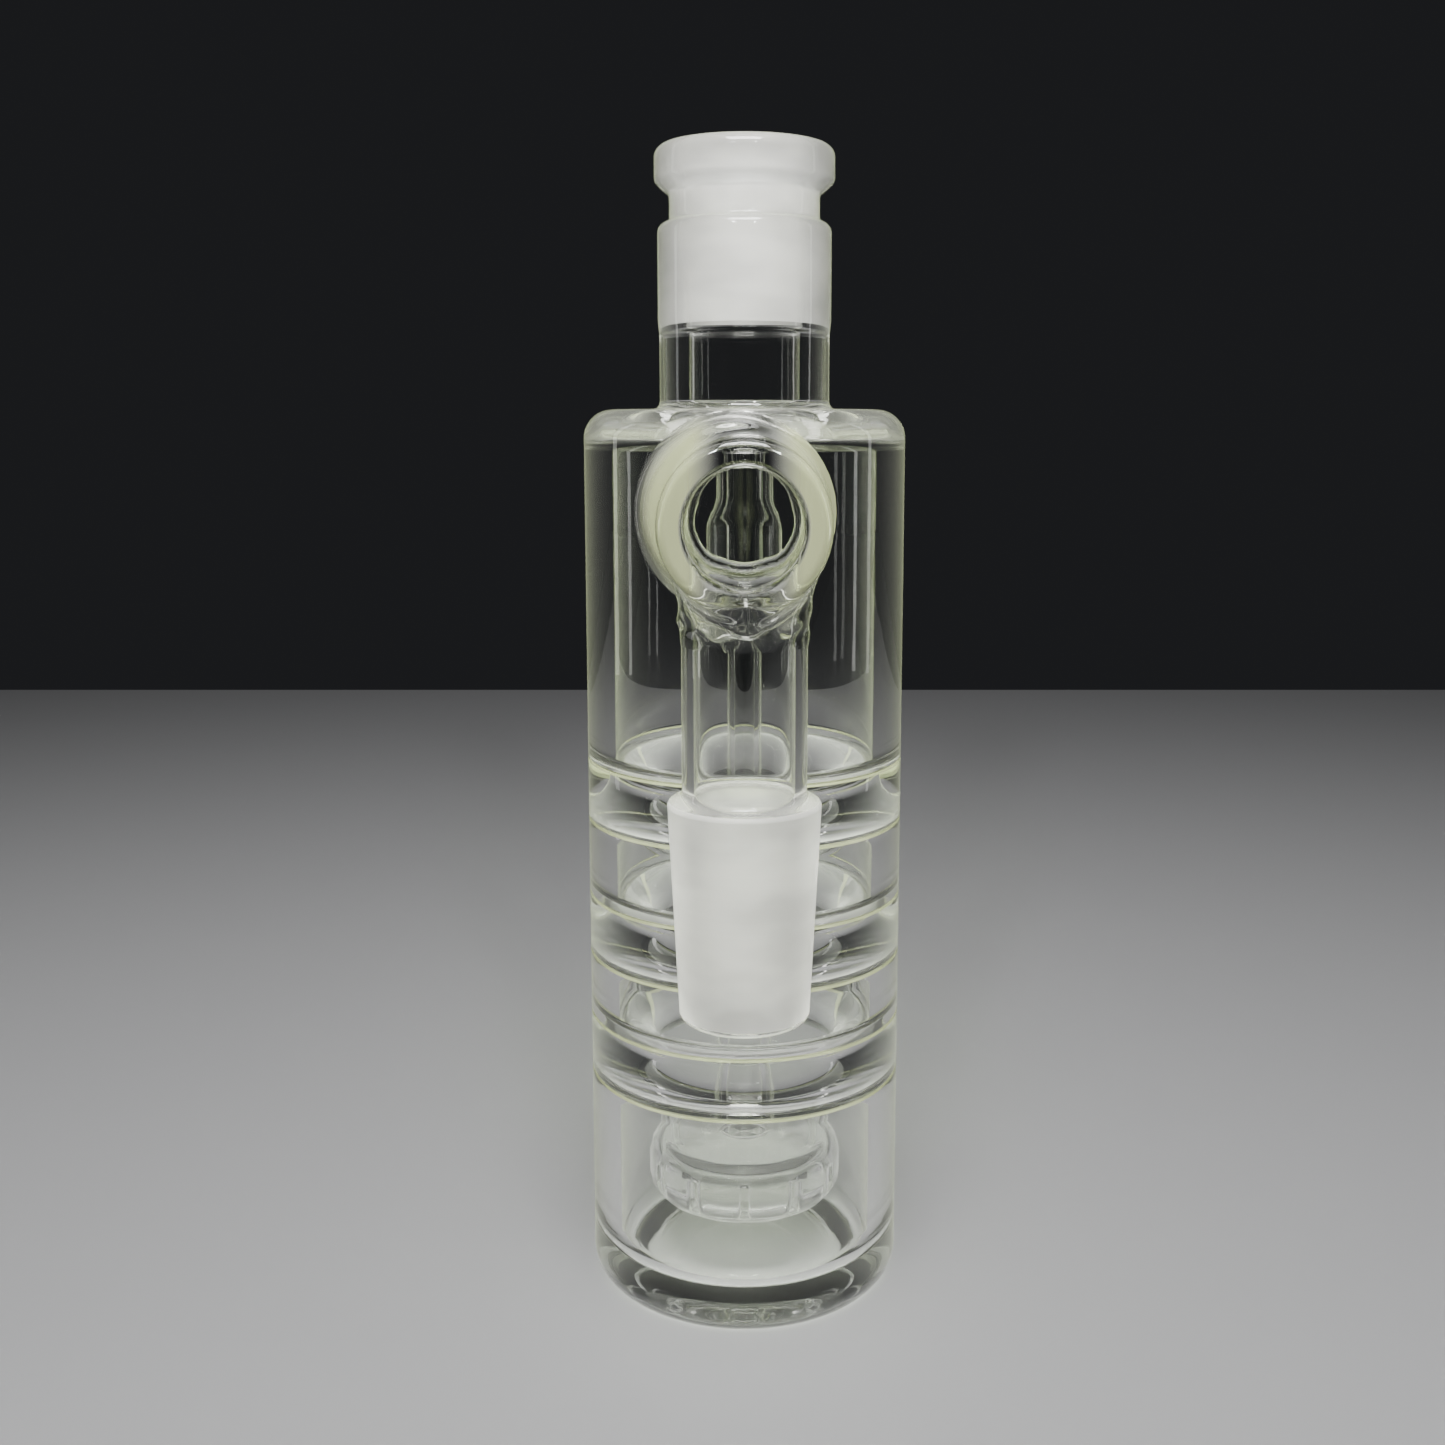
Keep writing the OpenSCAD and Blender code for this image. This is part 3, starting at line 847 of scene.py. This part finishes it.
def arm_field(x, y, z):
    """Chamber wall with the side arm, its window, both welds and the hollow inside them."""
    around = np.hypot(x, y)
    arm = np.hypot(x, z - ARM_Z)
    drop = np.hypot(x, y + DROP_Y)
    bead = np.hypot(x - BEAD_X, z - BEAD_Z)
    worked = np.exp(-(((z - WELD_LUMP_Z) / 2.4) ** 2))
    lumps = np.sin(1.3 * x + 0.5) * np.sin(1.5 * z) + 0.6 * np.sin(0.9 * x - 1.9 * z + 1)
    bulge = worked * (0.35 + 0.16 * lumps)
    outer = rounded_rod(arm, -y, ARM_R, ROOT, ARM_FRONT, RIM_EDGE)
    outer = soft_min(outer, rounded_rod(drop, -z, DROP_R, -ARM_Z, 0, 0.1) - bulge, 4.0)
    outer = soft_min(outer, rounded_rod(bead, -y, BEAD_R, ROOT, BEAD_OUT, 2.2), 1.8)
    outer = soft_min(outer, rounded_rod(around, z, CHAMBER_R, 0, SHOULDER_Z, SHOULDER_ROUND), 1.4)
    hollow = rounded_rod(arm, -y, ARM_BORE_R, CHAMBER_R - 0.5, ARM_TUBE_FRONT, 0.4)
    hollow = soft_min(hollow, rounded_rod(drop, -z, DROP_BORE_R, -ARM_Z, 0, 0.1), 1.6)
    hollow = soft_min(hollow, rounded_rod(arm, -y, PORT_R, 10, CHAMBER_R + 1, 0.2), 0.5)
    chamber = rounded_rod(around, z, BORE_R, 0, SHOULDER_UNDER, UNDER_ROUND)
    hollow = soft_min(hollow, chamber, 0.7)
    return soft_max(outer, -hollow, 0.5)


def arm_pieces():
    """The upper wall, the arm, its window and both welds: one melted shape cut at the nodes."""
    wall_low = high("splash_ring_upper", 2) + RING_FILLET
    cell = 0.42
    points, faces = surface_net(
        arm_field, (-24, -48, wall_low - 2), (24, 24, SHOULDER_Z + 1.5), cell
    )
    bm = to_bmesh(points, faces)
    wall = split_at_chamber(bm, 1)
    cut(wall, (0, 0, wall_low), (0, 0, -1))
    cut(wall, (0, 0, SHOULDER_LOW), (0, 0, 1))
    melted_piece(wall, arm_field, "upper_wall_glass", ["upper_wall"])
    front = split_at_chamber(bm, -1)
    cut(front, (0, 0, DROP_TOP), (0, 0, -1))
    window_y = 0.4 - ARM_TUBE_FRONT
    bands = {
        "arm_weld": [((0, -WELD_OUT, 0), (0, -1, 0))],
        "side_arm": [((0, -WELD_OUT, 0), (0, 1, 0)), ((0, 0, WELD_TOP), (0, 0, -1)),
                     ((0, window_y, 0), (0, -1, 0))],
        "arm_window": [((0, window_y, 0), (0, 1, 0)), ((0, 0, WELD_TOP), (0, 0, -1))],
        "drop_weld": [((0, -WELD_OUT, 0), (0, 1, 0)), ((0, 0, WELD_TOP), (0, 0, 1))],
    }
    for node, planes in bands.items():
        melted_piece(part_of(front, planes), arm_field, node + "_glass", [node], ARM_GLASS)


SLOTS = 12
SLOT_W = 1.1
SLOT_LOW = HEAD_LOW + 2.2
SLOT_HIGH = CAP_LOW - 0.6
SLOT_H = SLOT_HIGH - SLOT_LOW
SLOT_MID = (SLOT_LOW + SLOT_HIGH) / 2
SLOT_INNER_R = 9
HEAD_WALL = 1.8
HEAD_LOW_ROUND = 4.5
HEAD_TOP_ROUND = 2.6
CAP_WAY_LOW = 15


def head_field(x, y, z):
    """Drum-shaped diffuser: a thin shell with upright slots whose edges have melted round."""
    around = np.hypot(x, y)
    angle = np.arctan2(y, x)
    turn = 2 * math.pi / SLOTS
    nearest = (angle + math.pi / 2 + turn / 2) % turn - turn / 2
    lobe = 0.18 * (1 - np.abs(nearest) / (turn / 2)) ** 2
    outer = drum(around + lobe, z, 0.0)
    shell = soft_max(outer, -drum(around, z, HEAD_WALL), 0.4)
    across = around * np.sin(nearest)
    slot = np.maximum(np.abs(across) - SLOT_W / 2, np.abs(z - SLOT_MID) - SLOT_H / 2)
    slot = np.maximum(slot, SLOT_INNER_R - around)
    shell = soft_max(shell, -slot, 0.5)
    return soft_max(shell, -(np.maximum(around - DOWN_BORE_R, CAP_WAY_LOW - z)), 0.3)


def drum(around, z, inset):
    """Distance to the diffuser's outline, moved inwards by inset."""
    radius, bottom, top = HEAD_R - inset, HEAD_LOW + inset, HEAD_TOP - inset
    low_round, top_round = HEAD_LOW_ROUND - inset, HEAD_TOP_ROUND - inset
    mid = (bottom + low_round + top - top_round) / 2
    edge = np.where(z < mid, low_round, top_round)
    u = around - (radius - edge)
    v = np.where(z < mid, bottom + low_round - z, z - (top - top_round))
    outside = np.hypot(np.maximum(u, 0), np.maximum(v, 0))
    return outside + np.minimum(np.maximum(u, v), 0) - edge


def diffuser_pieces():
    """Cap and cup of the diffuser, cut from one melted shape."""
    cell = 0.3
    points, faces = surface_net(
        head_field, (-15, -15, HEAD_LOW - 1), (15, 15, HEAD_TOP + 1), cell
    )
    bm = to_bmesh(points, faces)
    cap = part_of(bm, [((0, 0, CAP_LOW), (0, 0, -1))])
    cup = part_of(bm, [((0, 0, CAP_LOW), (0, 0, 1))])
    # painted white highlights on the diffuser's edges
    melted_piece(cap, head_field, "diffuser_cap_glass", ["diffuser_cap"], HIGHLIGHT_GLASS)
    melted_piece(cup, head_field, "diffuser_cup_glass", ["diffuser_cup"], HIGHLIGHT_GLASS)


# ---------------------------------------------------------------- studio


LIGHT_TARGET = Vector((0, -0.01, 0.08))
FLOOR_HALF = 0.5
FLOOR_WIDENED = 3.0


def area_light(name, place, size, power):
    """A softbox at place, width and height in metres and power in watts, aimed at the object."""
    lamp = bpy.data.lights.new(name, "AREA")
    lamp.shape = "RECTANGLE"
    lamp.size, lamp.size_y = size
    lamp.energy = power
    light = bpy.data.objects.new(name, lamp)
    bpy.context.scene.collection.objects.link(light)
    light.location = place
    aim = LIGHT_TARGET - Vector(place)
    light.rotation_euler = aim.to_track_quat("-Z", "Y").to_euler()
    light.visible_camera = False


def studio():
    """Plain pale floor, dim room and soft lights."""
    bm = bmesh.new()
    bmesh.ops.create_grid(bm, x_segments=1, y_segments=1, size=FLOOR_HALF)
    for v in bm.verts:
        v.co.x *= FLOOR_WIDENED
    mesh = bpy.data.meshes.new("floor")
    bm.to_mesh(mesh)
    bm.free()
    floor = bpy.data.objects.new("floor", mesh)
    bpy.context.scene.collection.objects.link(floor)
    mat, nt = new_material("pale_floor")
    out = add(nt, "ShaderNodeOutputMaterial")
    paint = add(nt, "ShaderNodeBsdfPrincipled")
    paint.inputs["Base Color"].default_value = (0.25, 0.25, 0.255, 1)
    paint.inputs["Roughness"].default_value = 0.6
    nt.links.new(paint.outputs[0], out.inputs["Surface"])
    mesh.materials.append(mat)
    world = bpy.data.worlds.new("studio")
    world.use_nodes = True
    world.node_tree.nodes["Background"].inputs[0].default_value = (0.014, 0.0145, 0.016, 1)
    bpy.context.scene.world = world
    area_light("top_soft", (0.0, -0.10, 0.55), (0.36, 0.30), 0.5)
    area_light("top_key", (0.0, -0.19, 0.42), (0.19, 0.13), 3.4)
    area_light("left_strip", (-0.50, 0.10, 0.22), (0.04, 0.50), 0.12)
    area_light("right_strip", (0.52, 0.06, 0.22), (0.03, 0.50), 0.12)
    area_light("front_left", (-0.10, -0.40, 0.32), (0.03, 0.03), 1.0)
    area_light("front_right", (0.10, -0.40, 0.32), (0.03, 0.03), 1.0)


CAMERA_PLACE = (0, -0.2214, 0.1253)
CAMERA_TILT = 8.09
CAMERA_LENS = 38.84
CAMERA_SHIFT = (-0.0152, -0.0558)


def camera():
    """A close view from the front, tilted down a little from above the object's middle."""
    data = bpy.data.cameras.new("camera")
    view = bpy.data.objects.new("camera", data)
    bpy.context.scene.collection.objects.link(view)
    view.location = CAMERA_PLACE
    view.rotation_euler = (math.radians(90 - CAMERA_TILT), 0, 0)
    data.sensor_width = 36
    data.lens = CAMERA_LENS
    data.shift_x, data.shift_y = CAMERA_SHIFT
    data.clip_start = 0.01
    bpy.context.scene.camera = view


camera()
base_piece()
ring_nodes = ("splash_ring_lower", "splash_ring_middle", "splash_ring_upper")
for ring in ring_nodes:
    splash_ring_piece(ring)
wall_piece("lower_wall", BASE_H, low(ring_nodes[0], 2) - RING_FILLET)
spacers = ("lower_spacer_wall", "upper_spacer_wall")
for spacer, below, above in zip(spacers, ring_nodes, ring_nodes[1:]):
    wall_piece(spacer, high(below, 2) + RING_FILLET, low(above, 2) - RING_FILLET)
shoulder_piece()
neck_piece()
female_joint_piece()
ring_seal_piece()
down_tube_piece()
drop_tube_piece()
male_joint_piece()
arm_pieces()
diffuser_pieces()
studio()
